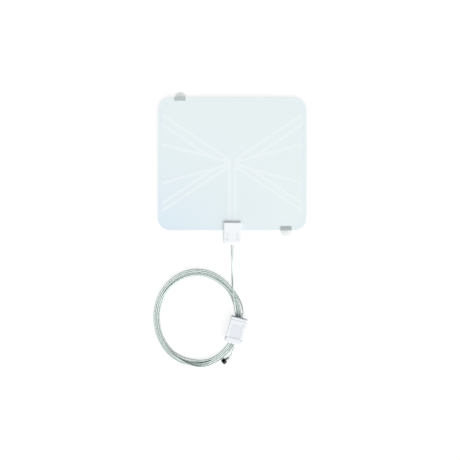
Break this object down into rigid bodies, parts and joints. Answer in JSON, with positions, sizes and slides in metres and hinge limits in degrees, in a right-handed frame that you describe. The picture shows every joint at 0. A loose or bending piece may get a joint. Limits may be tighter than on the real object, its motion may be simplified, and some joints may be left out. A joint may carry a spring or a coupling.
{
  "type": "portable tv antenna",
  "caption": "Flat indoor TV antenna: a milky laminated sheet with foil elements, junction housing, suction-cup clips, and a coiled clear lead with inline amplifier and screw-on coaxial plug.",
  "frame": {"origin": "on the surface it lies on, below the middle of the sheet with its housing and clips", "axes": "+X across the sheet to the right as seen from its face, +Y up the sheet away from the housing, +Z out of the sheet's face"},
  "size_m": [0.3455, 0.6226, 0.0217],
  "materials": {
    "film_back": "satin polyester film, milky",
    "film_front": "satin polyester film, milky",
    "foil": "thin foil, matt",
    "housing_white": "moulded, satin gloss",
    "board_green": "glass-fibre board with solder mask",
    "ferrite": "fired ferrite",
    "copper_wire": "enamelled copper wire",
    "spring_bronze": "bright phosphor bronze",
    "screw_steel": "zinc plated",
    "relief_white": "moulded soft vinyl",
    "cord_clear": "clear vinyl jacket over tinned braid",
    "cord_core": "clear vinyl jacket and insulation",
    "clip_smoke": "smoke-tinted clear plastic",
    "cup_clear": "clear soft vinyl",
    "amp_white": "moulded, satin gloss",
    "tinned_steel": "tinned, bright",
    "light_lens": "water-clear lens, unlit",
    "ferrule_nickel": "bright nickel",
    "nut_dark": "dark nickel",
    "insulator_white": "polyethylene",
    "pin_copper": "copper-clad, bright"
  },
  "bodies": {
    "antenna": {"back_film": "film_back", "front_film": "film_front", "element_left": "foil", "element_right": "foil", "housing_front": "housing_white", "housing_back": "housing_white", "matching_board": "board_green", "amp_board": "board_green", "balun_core": "ferrite", "balun_winding": "copper_wire", "contact_left": "spring_bronze", "contact_right": "spring_bronze", "housing_screws": "screw_steel", "amp_screws": "screw_steel", "lead_relief": "relief_white", "amp_relief_in": "relief_white", "amp_relief_out": "relief_white", "cord_lead": "cord_clear", "cord_coil": "cord_clear", "cord_to_amp": "cord_clear", "cord_tail": "cord_clear", "lead_end": "cord_core", "amp_end_in": "cord_core", "amp_end_out": "cord_core", "clip_upper_left": "clip_smoke", "clip_lower_right": "clip_smoke", "cup_upper_left": "cup_clear", "cup_lower_right": "cup_clear", "amp_top_shell": "amp_white", "amp_bottom_shell": "amp_white", "shield_can": "tinned_steel", "usb_socket": "tinned_steel", "power_light": "light_lens", "connector_body": "ferrule_nickel", "connector_insulator": "insulator_white", "connector_pin": "pin_copper"},
    "nut": {"connector_nut": "nut_dark"}
  },
  "joints": [
    {"name": "nut_spin", "type": "hinge", "parent": "antenna", "child": "nut", "pos_m": [-0.01504, -0.43363, 0.0065], "axis": [-0.8131, -0.5821, 0], "continuous": true}
  ]
}
